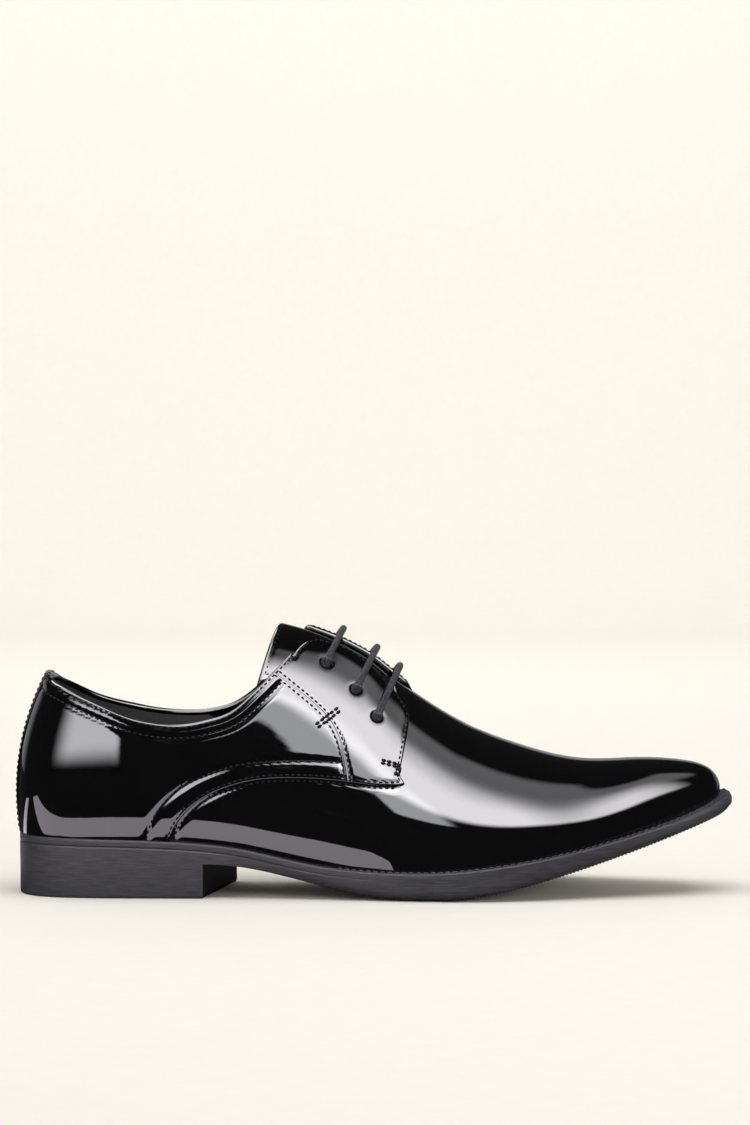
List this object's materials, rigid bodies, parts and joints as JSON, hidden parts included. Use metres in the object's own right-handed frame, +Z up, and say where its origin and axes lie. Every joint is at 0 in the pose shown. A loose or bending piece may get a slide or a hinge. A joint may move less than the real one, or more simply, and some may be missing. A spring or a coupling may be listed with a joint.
{
  "type": "patent leather dress shoe",
  "caption": "Right-foot open-laced derby shoe with a long tapered toe, hollow glossy upper, tongue, lace bars and a moulded sole with a low block heel.",
  "frame": {"origin": "on the floor under the middle of the shoe's own box", "axes": "+X to the toe, +Y to the inner side of the foot, +Z up"},
  "size_m": [0.3116, 0.0954, 0.1163],
  "materials": {
    "patent_leather": "mirror gloss black patent with a hard clear coat",
    "lining": "matte black lining leather",
    "sole_rubber": "satin charcoal, finely brushed along its side",
    "lace_cord": "round waxed charcoal cord",
    "thread": "waxed black sewing thread"
  },
  "bodies": {
    "root": {"sole": "sole_rubber", "upper": "patent_leather", "tongue": "patent_leather", "insole": "lining", "backstay": "patent_leather", "lace_bar_1": "lace_cord", "lace_bar_2": "lace_cord", "lace_bar_3": "lace_cord"}
  },
  "joints": []
}
